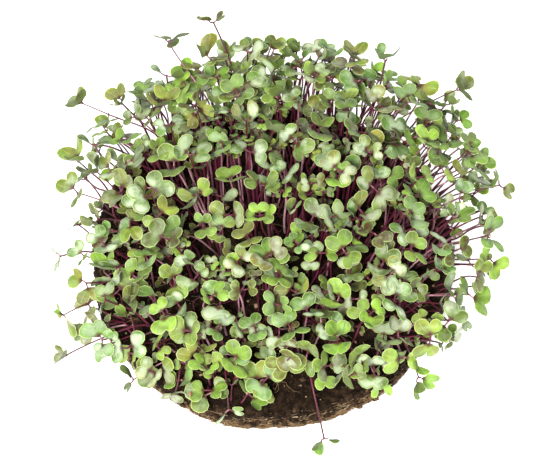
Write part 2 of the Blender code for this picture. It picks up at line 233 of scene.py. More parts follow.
# Tints of a leaf pair: how grown, how olive, how flushed with maroon, and painted shade added to the flush
# the deeper it stands under the canopy
TINT_LEAN = 0.75
TINT_SPREAD = 0.08
WARM_MOST, WARM_LEAN = 0.90, 2.2
FLUSH_MEAN, FLUSH_SPREAD = 0.02, 0.14
RED_LEAF, RED_LEAF_CHANCE = (0.35, 0.75), 0.12
FLUSH_AND_SHADE_MOST = 0.88
SHADE_FLUSH = 36.0
SHADE_DEPTH = 0.004
SHADE_RIM_POWER = 5

# True leaves: count, size, pairs of teeth, depth of the teeth, two forms' fold and droop, and spreads
TRUE_LEAVES = 34
TRUE_LEAF_LENGTH = 0.0092
TRUE_LEAF_HALF_WIDTH = 0.0030
TRUE_LEAF_TEETH = 6
TOOTH_DEPTH = 0.26
TRUE_LEAF_FORMS = ((0.3, 25.0), (0.6, 9.0))
TRUE_LEAF_ROOM = 1.2
TRUE_LEAF_RISE = (0.7, 1.6)
TRUE_LEAF_SIZE = (0.62, 1.0)
TRUE_LEAF_TINTS = (("tint", 0.5), ("warm", 0.4), ("flush_and_shade", 0.25))

# Stems and stalks: thickness at foot and end, points on a line, and how they wander
STEM_THICK = (0.00060, 0.00045)
STEM_THICK_SHARE = (0.85, 1.15)
STEM_POINTS = 11
STEM_WANDER = 0.0011
STALK_THICK = (0.00052, 0.00034)
STALK_REACH = (-0.0002, 0.0013)
STALK_STEPS = 4
STALK_SAG = 0.00035
STALK_INTO_LEAF = 1.5

# The block's surface: height and depth of its rounded edges, its mesh, and its lumps and grains, each
# as how close they lie and how high they are
FOOT_ROUND = (0.0022, 0.0018)
SHOULDER_ROUND = (0.0045, 0.0030)
BLOCK_TURNS = 300
SIDE_STEP = 0.0011
SOIL_RINGS, MAT_RINGS = 70, 12
SIDE_LUMPS, SIDE_GRAINS = (260, 0.0011), (900, 0.0005)
TOP_LUMPS, TOP_GRAINS = (240, 0.0012), (800, 0.0007)

# Crumbs and empty seed coats
CRUMB_FORMS = 6
CRUMB_BREAK = 0.75
TOP_CRUMBS, TOP_CRUMB_SIZES = 4600, (0.0003, 0.0019)
SIDE_CRUMBS, SIDE_CRUMB_SIZES = 2800, (0.0004, 0.0025)
SIDE_CRUMB_HEIGHTS = (0.0026, 0.0195)
CRUMB_STRETCH = (0.7, 1.2)
SIDE_TINT = 0.92
SPOT_INSET = 0.003
SEED_COATS = 9
COAT_SIZE = (0.0011, 0.0009, 0.0008)
COAT_SPOT = (0.0098, 0.003, 0.0)

# Fine roots on the block's side and threads on its top: heights, steps, lift off the soil, thickness
SIDE_ROOTS, TOP_ROOTS = 2100, 260
ROOT_FROM, ROOT_RISE, ROOT_LEAN = 0.0010, 0.0160, 1.4
ROOT_HEIGHTS = (0.0006, 0.0185)
ROOT_STEP, ROOT_LIFT = (0.0008, 0.0019), (0.0001, 0.0009)
ROOT_SLOPE, ROOT_WANDER, ROOT_THICK = 0.6, 0.62, (0.00007, 0.00019)
THREAD_STEP, THREAD_LIFT = (0.0012, 0.0026), (0.0006, 0.0014)
THREAD_WANDER, THREAD_THICK = 0.5, (0.00008, 0.00020)

# The photograph's frame, its camera and where the block's foot lies in it
PHOTO_WIDE, PHOTO_HIGH = 550, 458
METRES_PER_PIXEL = 0.000568
FOOT_AT = (271.6, 270.0)
CAMERA_ELEVATION = math.radians(60)
SIGHT_SLOPE = 1 / math.tan(CAMERA_ELEVATION)
CAMERA_DISTANCE = 1.5
SENSOR = 36.0

# The lights, as name, place, size, power and colour, and the glow of the white round the block
LIGHTS = (
    ("key", (-0.22, -0.72, 1.05), 0.36, 30.0, (1.0, 0.99, 0.955)),
    ("back", (0.4, 0.6, 1.1), 0.6, 3.5, (1.0, 1.0, 1.0)),
)
SKY_GLOW = 0.57
FLOOR_GLOW = 0.64
FLOOR_HALF = 4.0
FLOOR_DROP = 0.0004

# How light goes into a leaf and brushes over it
LEAF_SOFTNESS = {
    "Subsurface Weight": 0.14,
    "Subsurface Scale": 0.0012,
    "Subsurface Radius": (0.5, 1.0, 0.2),
    "Sheen Weight": 0.05,
    "Sheen Roughness": 0.5,
}


# The growing rule


def around(values, azimuth):
    """A value given in evenly spaced directions, read smoothly between them."""
    turn = (azimuth / math.tau % 1.0) * len(values)
    low = int(turn)
    share = turn - low
    share = share * share * (3 - 2 * share)
    return values[low % len(values)] * (1 - share) + values[(low + 1) % len(values)] * share


def polar(radius, azimuth, height=0.0):
    """The point that far from the block's axis, in that direction."""
    return Vector((radius * math.cos(azimuth), radius * math.sin(azimuth), height))


def soil_top(x, y):
    """Height of the soil's wavy top."""
    wave = math.sin(x * 95 + 1.3) * math.cos(y * 80 - 0.4) + 0.6 * math.sin((x + y) * 150)
    return BLOCK_HEIGHT + TOP_WAVE * wave


def on_soil(x, y):
    return Vector((x, y, soil_top(x, y)))


def outline_radius(radius, azimuth):
    """The block's outline, a little out of round."""
    wave = math.sin(3 * azimuth + 0.5) + 0.7 * math.sin(7 * azimuth + 2.0) + 0.5 * math.sin(13 * azimuth)
    return radius + OUTLINE_WAVE * wave / 2.2


def canopy_rim(azimuth):
    """How far out a tip may stand in a direction."""
    return around(CANOPY_REACH, azimuth) - RIM_INSET


def canopy_height(radius, azimuth):
    """Height of the canopy that far out, which stays the same outside its rim."""
    share = min(radius / canopy_rim(azimuth), 1.0)
    return CROWN_HEIGHT + (around(RIM_HEIGHT, azimuth) - CROWN_HEIGHT) * share**CROWN_FLATNESS


def bezier(start, bend, end, t):
    """A point of the curve from start to end that bend pulls aside."""
    return start * (1 - t) ** 2 + bend * (2 * t * (1 - t)) + end * t * t


def leaf_axes(seedling):
    """A leaf pair's own axes: across through both leaves, aside, and up."""
    up = seedling["up"]
    across = polar(1, seedling["turn"])
    across = (across - up * across.dot(up)).normalized()
    return Matrix((across, up.cross(across), up)).transposed()


def blade_point(seedling, side, along, out):
    """A point of one seed leaf's middle surface, on the leaf pair's own axes."""
    rise = seedling["open"]
    curl = CURL_ALONG * along * along + CURL_ACROSS * out * out
    return Vector((side * along * math.cos(rise), out, along * math.sin(rise) - curl))


def stem_point(seedling, t):
    """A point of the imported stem, which is straight from ring to ring of a curve."""
    ends = (*STEM_RINGS, 1.0)
    i = max(n for n in range(len(STEM_RINGS)) if ends[n] <= t)
    low, high = (bezier(seedling["root"], seedling["bend"], seedling["tip"], e) for e in ends[i : i + 2])
    return low.lerp(high, (t - ends[i]) / (ends[i + 1] - ends[i]))


def samples_of(seedling):
    """Points that stand for a seedling's leaves and for its stem when clearances are measured."""
    axes = leaf_axes(seedling).to_4x4()
    to_block = Matrix.Translation(seedling["tip"]) @ axes @ Matrix.Scale(seedling["size"], 4)
    leaves = [
        to_block @ blade_point(seedling, side, along, half * out)
        for side in (-1, 1)
        for half in (-1, 1)
        for along, out in LEAF_SPOTS
    ]
    stem = [stem_point(seedling, (i + 0.5) / STEM_SAMPLES) for i in range(STEM_SAMPLES)]
    return np.array(leaves), np.array(stem)


def within(points, middle, reach):
    """Which points lie in the box round middle."""
    return (np.abs(points - middle) < reach).all(1)


def nearest(first, second):
    """The smallest distance between two sets of points."""
    if not len(first) or not len(second):
        return math.inf
    return float(np.sqrt(((first[:, None] - second[None]) ** 2).sum(2).min()))


def over_block(x, y):
    return math.hypot(x, y) < BLOCK_RADIUS + EDGE_MARGIN


def clears_soil(seedling, leaves):
    """Whether a seedling stays off the soil and the ground, apart from the hole that it grows in."""
    for x, y, z in leaves:
        if z < (BLOCK_HEIGHT if over_block(x, y) else 0.0) + 3 * SOIL_CLEAR:
            return False
    foot = seedling["foot"]
    for i in range(SOIL_STEPS):
        x, y, z = stem_point(seedling, i / SOIL_STEPS)
        off_knot = math.hypot(x - foot.x, y - foot.y) > KNOT_RADIUS - STEM_RADIUS
        if over_block(x, y) and off_knot and z < soil_top(x, y) + SOIL_CLEAR:
            return False
    return True


class Stand:
    """The seedlings placed so far, and whether a new one finds room among them."""

    def __init__(self):
        self.leaves = np.zeros((0, 3))
        self.stems = np.zeros((0, 3))
        self.tufts = np.zeros(0, int)

    def clears(self, tuft, leaves, stem, ease):
        """Whether leaves and stem keep that share of the clearances from all others."""
        points = np.vstack((leaves, stem))
        middle = (points.min(0) + points.max(0)) / 2
        reach = (points.max(0) - points.min(0)) / 2 + LEAF_CLEAR
        other_leaves = self.leaves[within(self.leaves, middle, reach)]
        close = within(self.stems, middle, reach)
        own = self.tufts[close] == tuft
        other_stems = self.stems[close]
        return (
            nearest(leaves, other_leaves) > LEAF_CLEAR * ease
            and nearest(leaves, other_stems) > MIXED_CLEAR * ease
            and nearest(stem[1:], other_leaves) > MIXED_CLEAR * ease
            and nearest(stem, other_stems[~own]) > STEM_CLEAR * ease
            and nearest(stem[ROOT_SAMPLES:], other_stems[own]) > STEM_CLEAR * ease
        )

    def takes(self, seedling, ease=1.0):
        """Adds a seedling where it finds room, and says whether it did."""
        leaves, stem = samples_of(seedling)
        tuft = seedling["tuft"]
        if not clears_soil(seedling, leaves) or not self.clears(tuft, leaves, stem, ease):
            return False
        self.leaves = np.vstack((self.leaves, leaves))
        self.stems = np.vstack((self.stems, stem))
        self.tufts = np.append(self.tufts, np.full(len(stem), tuft))
        return True


def sow():
    """Feet of the tufts, on a sunflower spiral, clear of the bare patch at the front."""
    rng = random.Random(SEED)
    feet = []
    for i in range(TUFTS):
        radius = SOWN_RADIUS * math.sqrt((i + 0.5) / TUFTS)
        azimuth = i * GOLDEN_ANGLE
        x = radius * math.cos(azimuth) + rng.uniform(-1, 1) * SOWING_JITTER
        y = radius * math.sin(azimuth) + rng.uniform(-1, 1) * SOWING_JITTER
        if not (BARE_FROM < azimuth % math.tau < BARE_TO and radius > BARE_RADIUS):
            feet.append(on_soil(x, y))
    return feet


def foot_ring(foot, k):
    """Where stem k of a tuft starts, low in the knot of roots."""
    angle = math.tau * k / SEEDLINGS_IN_TUFT + foot.x * RING_TURN
    return foot + polar(1, angle) * ROOT_RING - Vector((0, 0, ROOT_DEPTH))


def draw_bend(rng, root, tip, out, up):
    """The point that bends a stem: a share of the way out to its tip, and another share up."""
    bend = root + (tip - root) * rng.uniform(*out)
    bend.z = root.z + (tip.z - root.z) * rng.uniform(*up)
    return bend


def draw_seedling(rng, tuft, foot, k):
    """One try at seedling k of a tuft: its tip, its bend and the way its leaves lie."""
    spread = around(CANOPY_REACH, math.atan2(foot.y, foot.x)) / (SOWN_RADIUS + SPREAD_MARGIN)
    fan = FAN_RADIUS * rng.uniform(*FAN_SHARE)
    fan_angle = math.tau * (k + rng.uniform(-0.5, 0.5)) / SEEDLINGS_IN_TUFT + foot.x * RING_TURN
    x = foot.x * spread + fan * math.cos(fan_angle)
    y = foot.y * spread + fan * math.sin(fan_angle)
    azimuth = math.atan2(y, x)
    reach = min(math.hypot(x, y), canopy_rim(azimuth) * rng.uniform(*RIM_SHARE))
    height = canopy_height(reach, azimuth) + rng.uniform(*HEIGHT_SHARE) * HEIGHT_SCATTER
    tip = polar(reach, azimuth, height)
    root = foot_ring(foot, k)
    bend = draw_bend(rng, root, tip, BEND_OUT, BEND_UP)
    return finish_seedling(rng, tuft, foot, root, bend, tip)


def draw_stray(rng, tuft, foot, k, stray):
    """A seedling that stands away from the rest, as STRAYS gives it."""
    degrees, reach, height, bend_height = stray
    azimuth = math.radians(degrees + rng.uniform(-STRAY_SWING, STRAY_SWING))
    tip = polar(reach, azimuth, height)
    root = foot_ring(foot, k)
    bend = root + (tip - root) * rng.uniform(*STRAY_BEND_OUT)
    bend.z = bend_height + rng.uniform(-STRAY_BEND_SCATTER, STRAY_BEND_SCATTER)
    return finish_seedling(rng, tuft, foot, root, bend, tip)


def finish_seedling(rng, tuft, foot, root, bend, tip):
    """A seedling on its stem's curve, with the way that its leaf pair lies."""
    up = ((tip - bend).normalized() + Vector((0, 0, LIGHT_PULL))).normalized()
    nod, nod_way = rng.uniform(0.0, LARGEST_NOD), rng.uniform(0, math.tau)
    return {
        "tuft": tuft,
        "foot": foot,
        "root": root,
        "bend": bend,
        "tip": tip,
        "up": (up + polar(1, nod_way) * nod).normalized(),
        "turn": rng.uniform(0, math.tau),
        "size": rng.uniform(*LEAF_SIZE),
        "open": rng.uniform(*LEAF_OPEN),
    }


def in_parting(tip):
    return any(math.hypot(tip.x - x, tip.y - y) < radius for (x, y), radius in PARTINGS)


def place(rng, stand, tufts, feet, i, stray):
    """Adds a seedling to tuft i where one of its tries finds room."""
    k = len(tufts[i])
    for _ in range(TRIES):
        if stray:
            seedling = draw_stray(rng, i, feet[i], k, stray)
        else:
            seedling = draw_seedling(rng, i, feet[i], k)
        if (stray or not in_parting(seedling["tip"])) and stand.takes(seedling):
            tufts[i].append(seedling)
            return


def grow(stand):
    """The seedlings of all tufts. One that finds no room in its tries isn't there."""
    rng = random.Random(SEED + 1)
    feet = sow()
    tufts = [[] for _ in feet]
    for stray in STRAYS:
        edge = polar(1, math.radians(stray[0])).to_2d() * SOWN_RADIUS
        closest = min(range(len(feet)), key=lambda i: (feet[i].to_2d() - edge).length)
        place(rng, stand, tufts, feet, closest, stray)
    for k in range(SEEDLINGS_IN_TUFT):
        for i in range(len(feet)):
            if len(tufts[i]) <= k:
                place(rng, stand, tufts, feet, i, None)
    return [seedling for seedlings in tufts if len(seedlings) > 1 for seedling in seedlings]


def lone_seedling(rng, number, foot, tip, out, up, leaf_size):
    """A seedling that stands by itself between the tufts."""
    root = foot - Vector((0, 0, ROOT_DEPTH))
    bend = draw_bend(rng, root, tip, out, up)
    seedling = finish_seedling(rng, -1 - number, foot, root, bend, tip)
    seedling["size"] *= leaf_size
    return seedling


def draw_filler(rng, number, drop, leaf_size, crowding, azimuths):
    """One try at a seedling between the tufts, often lower than the canopy's top."""
    radius = FILLER_REACH * rng.random() ** crowding
    azimuth = math.radians(rng.uniform(*azimuths))
    x, y = radius * math.cos(azimuth), radius * math.sin(azimuth)
    foot = on_soil(x, y)
    lean = rng.uniform(*FILLER_LEAN) * around(CANOPY_REACH, azimuth) / (FILLER_REACH + FILLER_MARGIN)
    x = x * lean + rng.gauss(0, FILLER_DRIFT)
    y = y * lean + rng.gauss(0, FILLER_DRIFT)
    azimuth = math.atan2(y, x)
    reach = min(math.hypot(x, y), canopy_rim(azimuth) * rng.uniform(*FILLER_RIM_SHARE))
    height = canopy_height(reach, azimuth) - rng.uniform(*drop)
    height = max(height, BLOCK_HEIGHT + rng.uniform(*FILLER_LOWEST))
    tip = polar(reach, azimuth, height)
    return lone_seedling(rng, number, foot, tip, FILLER_BEND_OUT, FILLER_BEND_UP, leaf_size)


def draw_slim(rng, number, x, y, wide, deep):
    """A slim seedling that stands just behind a clearing, its small leaves under the ones round it."""
    drop = rng.uniform(*SLIM_DROP)
    foot_x = (x + rng.uniform(-SLIM_ASIDE, SLIM_ASIDE) * wide) * SLIM_FOOT_X
    foot_y = (y + rng.uniform(*SLIM_BEHIND)) * SLIM_FOOT_Y
    tip_y = y + deep + drop * SIGHT_SLOPE + rng.uniform(*SLIM_TIP_BEHIND)
    tip = Vector((foot_x / SLIM_FOOT_X + rng.gauss(0, SLIM_TIP_DRIFT), tip_y, 0))
    tip.z = canopy_height(tip.to_2d().length, math.atan2(tip.y, tip.x)) - drop
    foot = on_soil(foot_x, foot_y)
    return lone_seedling(rng, number, foot, tip, SLIM_BEND_OUT, SLIM_BEND_UP, SLIM_LEAF)


def bare(spot, margin):
    """Whether a spot lies over the bare patch at the front, further in than that margin."""
    azimuth = math.atan2(spot.y, spot.x) % math.tau
    return BARE_FROM < azimuth < BARE_TO and spot.to_2d().length > BARE_RADIUS + margin


def in_clearing(tip):
    """Whether the camera would see a tip in a clearing."""
    seen = tip.y - (CROWN_HEIGHT - tip.z) * SIGHT_SLOPE
    return any(
        math.hypot((tip.x - x) / wide, (seen - y) / deep) < 1 for (x, y), (wide, deep), _ in CLEARINGS
    )


def keeps_open(seedling):
    """Whether a filler leaves the clearings and the bare patch open."""
    tip = seedling["tip"]
    return not (in_clearing(tip) or bare(seedling["foot"], BARE_MARGIN) or bare(tip, BARE_OVERHANG))


def fill(stand):
    """The seedlings between the tufts, from the canopy's top down."""
    rng = random.Random(SEED + 2)
    added = []
    for count, tries, ease, *manner in FILLER_LAYERS:
        for _ in range(count):
            for _ in range(tries):
                seedling = draw_filler(rng, len(added), *manner)
                if keeps_open(seedling) and stand.takes(seedling, ease):
                    added.append(seedling)
                    break
    for middle, half_size, slim in CLEARINGS:
        for _ in range(slim):
            seedling = draw_slim(rng, len(added), *middle, *half_size)
            if seedling["foot"].to_2d().length < FILLER_REACH and stand.takes(seedling, SLIM_EASE):
                added.append(seedling)
    return added


# Node trees


def feed(tree, socket, value):
    """Links an output to a socket, or sets the socket to a plain value."""
    if isinstance(value, bpy.types.NodeSocket):
        tree.links.new(value, socket)
    else:
        socket.default_value = value


def add(tree, kind, inputs=None, **settings):
    """A node with its settings, and with its inputs fed."""
    made = tree.nodes.new(kind)
    for name, value in settings.items():
        setattr(made, name, value)
    for label, value in (inputs or {}).items():
        feed(tree, made.inputs[label], value)
    return made


def maths(tree, operation, *values):
    return add(tree, "ShaderNodeMath", dict(enumerate(values)), operation=operation).outputs[0]


def times(tree, product, *factors):
    for factor in factors:
        product = maths(tree, "MULTIPLY", product, factor)
    return product


def stretch(tree, value, low, high, to_low=0.0, to_high=1.0):
    """value from low to high, smoothly spread over to_low to to_high and held there outside."""
    spread = dict(enumerate((value, low, high, to_low, to_high)))
    return add(tree, "ShaderNodeMapRange", spread, interpolation_type="SMOOTHSTEP").outputs[0]


def mixed(tree, share, first, second, blend="MIX"):
    colours = {0: share, 6: first, 7: second}
    return add(tree, "ShaderNodeMix", colours, data_type="RGBA", blend_type=blend).outputs[2]


def grain(tree, vector, scale, detail=3.0, roughness=0.55):
    inputs = {"Vector": vector, "Scale": scale, "Detail": detail, "Roughness": roughness}
    return add(tree, "ShaderNodeTexNoise", inputs).outputs[0]


def attribute(tree, name, output="Fac"):
    return add(tree, "ShaderNodeAttribute", attribute_name=name).outputs[output]


def new_group(name, kind, inputs, outputs):
    """A node group with its named inputs and outputs: (tree, input node's outputs, output node's inputs)."""
    tree = bpy.data.node_groups.new(name, kind)
    for label, socket, default in inputs:
        made = tree.interface.new_socket(label, in_out="INPUT", socket_type="NodeSocket" + socket)
        if default is not None:
            made.default_value = default
    for label, socket in outputs:
        tree.interface.new_socket(label, in_out="OUTPUT", socket_type="NodeSocket" + socket)
    entry = tree.nodes.new("NodeGroupInput")
    leave = tree.nodes.new("NodeGroupOutput")
    return tree, entry.outputs, leave.inputs


def shader_group(name, *inputs):
    """A shader group that puts out a colour and a height."""
    return new_group(name, "ShaderNodeTree", inputs, (("Colour", "Color"), ("Height", "Float")))


def leaf_tissue_group():
    """Colour and unevenness of leaf tissue, from a point's place on its blade and the leaf's own tint, with
    painted sheen on the lobes, a painted highlight along the rim and painted shade in the flush.
    """
    tree, given, out = shader_group(
        "leaf tissue",
        ("Young colour", "Color", (0.225, 0.385, 0.038, 1)),
        ("Grown colour", "Color", (0.078, 0.180, 0.016, 1)),
        ("Olive colour", "Color", (0.20, 0.170, 0.022, 1)),
        ("Bloom and sheen colour", "Color", (0.60, 0.69, 0.51, 1)),
        ("Vein, margin and rim highlight colour", "Color", (0.64, 0.72, 0.32, 1)),
        ("Flush and shade colour", "Color", (0.058, 0.017, 0.011, 1)),
        ("Underside colour", "Color", (0.095, 0.125, 0.034, 1)),
        ("Vein strength", "Float", 0.25),
        ("Bloom and sheen strength", "Float", 0.67),
    )
    place = add(tree, "ShaderNodeTexCoord").outputs["Object"]
    along, aside, edge = add(tree, "ShaderNodeSeparateXYZ", {0: attribute(tree, "blade", "Vector")}).outputs
    tint, flush_and_shade, warm, under = (attribute(tree, name) for name in ("tint", "flush_and_shade", "warm", "under"))

    def patches(scale, detail, *spread):
        """Soft patches of one grain, spread as stretch does it."""
        return stretch(tree, grain(tree, place, scale, detail), *spread)

    colour = mixed(tree, stretch(tree, tint, 0.0, 0.75), given["Young colour"], given["Grown colour"])
    olive = times(tree, warm, patches(110.0, 2.0, 0.35, 0.60, 0.35, 1.0))
    colour = mixed(tree, olive, colour, given["Olive colour"])
    colour = mixed(tree, 1.0, colour, patches(120.0, 3.0, 0.32, 0.68, 0.54, 1.18), "MULTIPLY")

    # Waxy bloom, partly the leaf's own glaucous tint and partly painted sheen: pale bluish green laid
    # strongest at the lobes' middles, where a highlight sits
    bloom_and_sheen = times(tree, stretch(tree, tint, 0.38, 1.0, 0.12, 1.0), given["Bloom and sheen strength"])
    bloom_and_sheen = times(tree, bloom_and_sheen, stretch(tree, edge, 0.96, 0.45, 0.16, 1.0))
    bloom_and_sheen = times(tree, bloom_and_sheen, patches(95.0, 3.0, 0.38, 0.62, 0.08, 1.0))
    colour = mixed(tree, bloom_and_sheen, colour, given["Bloom and sheen colour"])

    fan = maths(tree, "ARCTAN2", aside, maths(tree, "ADD", along, -LEAF_FOOT))
    wave = maths(tree, "ABSOLUTE", maths(tree, "SINE", times(tree, fan, 5.0)))
    veins = times(tree, stretch(tree, wave, 0.18, 0.0), stretch(tree, edge, 0.85, 0.35))
    veins = times(tree, veins, given["Vein strength"])
    # Pale veins, and a pale rim that is partly the leaf's own paler margin and partly a painted highlight
    # along its edge
    margin = stretch(tree, edge, 0.80, 1.0, 0.0, 0.60)
    colour = mixed(tree, maths(tree, "MAXIMUM", veins, margin), colour, given["Vein, margin and rim highlight colour"])
    colour = mixed(tree, times(tree, under, 0.80), colour, given["Underside colour"])

    from_foot = maths(tree, "ADD", along, times(tree, maths(tree, "ABSOLUTE", aside), 0.55))
    foot = stretch(tree, from_foot, 0.0052, 0.0026, 0.0, 0.97)
    blotches = patches(260.0, 2.0, 0.35, 0.65, 0.45, 1.0)
    # Maroon flush over the blade: the leaf's own flush, plus painted shade on leaves that stand deep under
    # the canopy
    all_over = times(tree, flush_and_shade, blotches, stretch(tree, edge, 1.1, 0.5))
    colour = mixed(tree, maths(tree, "MAXIMUM", foot, all_over), colour, given["Flush and shade colour"])
    feed(tree, out["Colour"], colour)
    relief = maths(tree, "SUBTRACT", grain(tree, place, 900.0, 2.0), times(tree, veins, 1.6))
    feed(tree, out["Height"], relief)
    return tree


def strand_group():
    """Colour of a stem, stalk or root, from foot to end."""
    tree, given, out = shader_group(
        "strand colour",
        ("Foot colour", "Color", (0.5, 0.2, 0.3, 1)),
        ("Middle colour", "Color", (0.4, 0.1, 0.2, 1)),
        ("End colour", "Color", (0.1, 0.02, 0.05, 1)),
        ("Pale colour", "Color", (0.8, 0.6, 0.6, 1)),
        ("Streaks", "Float", 0.4),
    )
    along, tint = attribute(tree, "along"), attribute(tree, "tint")
    place = add(tree, "ShaderNodeTexCoord").outputs["Object"]
    colour = mixed(tree, stretch(tree, along, 0.0, 0.45), given["Foot colour"], given["Middle colour"])
    colour = mixed(tree, stretch(tree, along, 0.62, 1.0), colour, given["End colour"])
    paler = times(tree, stretch(tree, tint, 0.70, 1.0), stretch(tree, along, 0.98, 0.60, 0.15, 0.85))
    colour = mixed(tree, paler, colour, given["Pale colour"])
    speckle = grain(tree, place, 420.0, 3.0)
    dark = times(tree, stretch(tree, speckle, 0.62, 0.30), given["Streaks"])
    feed(tree, out["Colour"], mixed(tree, dark, colour, given["End colour"]))
    feed(tree, out["Height"], speckle)
    return tree


def earth_group():
    """Colour and relief of crumbly earth with pale bits in it, more fibrous towards the foot."""
    tree, given, out = shader_group(
        "earth",
        ("Dark colour", "Color", (0.0055, 0.0024, 0.0012, 1)),
        ("Light colour", "Color", (0.028, 0.0155, 0.0078, 1)),
        ("Fibre colour", "Color", (0.36, 0.22, 0.10, 1)),
        ("Speck colour", "Color", (0.42, 0.29, 0.17, 1)),
        ("Fibre top", "Float", 0.010),
        ("Speck share", "Float", 0.45),
    )
    place = add(tree, "ShaderNodeTexCoord").outputs["Object"]
    height = add(tree, "ShaderNodeSeparateXYZ", {0: place}).outputs[2]
    coarse, fine = grain(tree, place, 260.0, 4.0), grain(tree, place, 1500.0, 3.0)
    colour = mixed(tree, stretch(tree, coarse, 0.35, 0.72), given["Dark colour"], given["Light colour"])
    squeezed = add(tree, "ShaderNodeMapping", {"Vector": place, "Scale": (1.0, 1.0, 3.2)}).outputs[0]
    threads = stretch(tree, grain(tree, squeezed, 420.0, 4.0, 0.7), 0.40, 0.60)
    low = stretch(tree, maths(tree, "SUBTRACT", height, given["Fibre top"]), 0.003, -0.009)
    colour = mixed(tree, times(tree, threads, low), colour, given["Fibre colour"])
    specks = times(tree, stretch(tree, fine, 0.66, 0.74), given["Speck share"])
    pale_bit = stretch(tree, attribute(tree, "tint"), 0.90, 0.97)
    colour = mixed(tree, maths(tree, "MAXIMUM", specks, pale_bit), colour, given["Speck colour"])
    feed(tree, out["Colour"], colour)
    feed(tree, out["Height"], maths(tree, "ADD", coarse, times(tree, fine, 0.4)))
    return tree


# Materials


def new_material(name, roughness, specular, bump, group, values=None, finish=None):
    """A Principled material whose colour and bump come from a shader group's outputs."""
    made = bpy.data.materials.new(name)
    made.use_nodes = True
    tree = made.node_tree
    placed = add(tree, "ShaderNodeGroup", values, node_tree=group).outputs
    strength, distance = bump
    heights = {"Strength": strength, "Distance": distance, "Height": placed["Height"]}
    inputs = {
        "Base Color": placed["Colour"],
        "Normal": add(tree, "ShaderNodeBump", heights).outputs[0],
        "Roughness": roughness,
        "Specular IOR Level": specular,
        **(finish or {}),
    }
    for label, value in inputs.items():
        feed(tree, tree.nodes["Principled BSDF"].inputs[label], value)
    return made


def seed_leaf_material(tissue):
    return new_material("seed leaf", 0.48, 0.24, (0.25, 0.0002), tissue, finish=LEAF_SOFTNESS)


def true_leaf_material(tissue):
    values = {"Young colour": (0.22, 0.42, 0.06, 1), "Vein strength": 0.6, "Bloom and sheen strength": 0.3}
    return new_material("true leaf", 0.48, 0.35, (0.4, 0.0003), tissue, values, LEAF_SOFTNESS)


def stem_material(strand):
    colours = {
        "Foot colour": (0.17, 0.032, 0.066, 1),
        "Middle colour": (0.115, 0.015, 0.038, 1),
        "End colour": (0.062, 0.011, 0.014, 1),
        "Pale colour": (0.70, 0.40, 0.45, 1),
        "Streaks": 0.45,
    }
    return new_material("stem", 0.42, 0.32, (0.2, 0.0001), strand, colours)


def stalk_material(strand):
    colours = {
        "Foot colour": (0.10, 0.016, 0.035, 1),
        "Middle colour": (0.12, 0.022, 0.040, 1),
        "End colour": (0.09, 0.020, 0.030, 1),
        "Pale colour": (0.34, 0.17, 0.17, 1),
        "Streaks": 0.3,
    }
    return new_material("leaf stalk", 0.42, 0.4, (0.2, 0.0001), strand, colours)


def root_material(strand):
    colours = {
        "Foot colour": (0.20, 0.12, 0.054, 1),
        "Middle colour": (0.26, 0.165, 0.078, 1),
        "End colour": (0.10, 0.055, 0.024, 1),
        "Pale colour": (0.62, 0.50, 0.34, 1),
        "Streaks": 0.5,
    }
    return new_material("fine root", 0.7, 0.2, (0.3, 0.0001), strand, colours)


def soil_material(earth):
    return new_material("moist soil", 0.92, 0.12, (0.9, 0.0012), earth)


def crumb_material(earth):
    values = {"Light colour": (0.044, 0.024, 0.012, 1), "Fibre top": 0.006}
    return new_material("soil crumb", 0.92, 0.12, (0.8, 0.0006), earth, values)


def mat_material(earth):
    colours = {
        "Dark colour": (0.012, 0.006, 0.003, 1),
        "Light colour": (0.040, 0.021, 0.008, 1),
        "Fibre colour": (0.20, 0.12, 0.05, 1),
    }
    return new_material("root mat", 0.9, 0.2, (0.9, 0.0010), earth, colours)


def seed_coat_material(earth):
    colours = {"Dark colour": (0.16, 0.05, 0.02, 1), "Light colour": (0.32, 0.12, 0.05, 1)}
    return new_material("seed coat", 0.5, 0.4, (0.3, 0.0003), earth, colours)


# Growth trees


def growth_group(name, *inputs):
    """A Geometry Nodes tree with the inputs that all of them have, and its own."""
    shared = (
        ("Geometry", "Geometry", None),
        ("Ripple", "Float", 0.0),
        ("Ripple scale", "Float", 100.0),
        ("Material", "Material", None),
    )
    return new_group(name, "GeometryNodeTree", shared + inputs, (("Geometry", "Geometry"),))


def named(tree, name, kind="FLOAT"):
    made = add(tree, "GeometryNodeInputNamedAttribute", data_type=kind)
    made.inputs["Name"].default_value = name
    return made.outputs["Attribute"]


def rippled(tree, geometry, given):
    """Shifts each point a little by a smooth noise."""
    wave = add(tree, "ShaderNodeTexNoise", {"Scale": given["Ripple scale"], "Detail": 2.0}).outputs["Color"]
    centred = add(tree, "ShaderNodeVectorMath", {0: wave, 1: (0.5, 0.5, 0.5)}, operation="SUBTRACT")
    scaled = {0: centred.outputs[0], "Scale": given["Ripple"]}
    offset = add(tree, "ShaderNodeVectorMath", scaled, operation="SCALE").outputs[0]
    return add(tree, "GeometryNodeSetPosition", {"Geometry": geometry, "Offset": offset}).outputs[0]


def finish_tree(tree, geometry, given, out):
    """Smooth shading and the material, at a growth tree's end."""
    smooth = add(tree, "GeometryNodeSetShadeSmooth", {"Geometry": geometry}).outputs[0]
    finish = add(tree, "GeometryNodeSetMaterial", {"Geometry": smooth, "Material": given["Material"]})
    feed(tree, out["Geometry"], finish.outputs[0])
    return tree


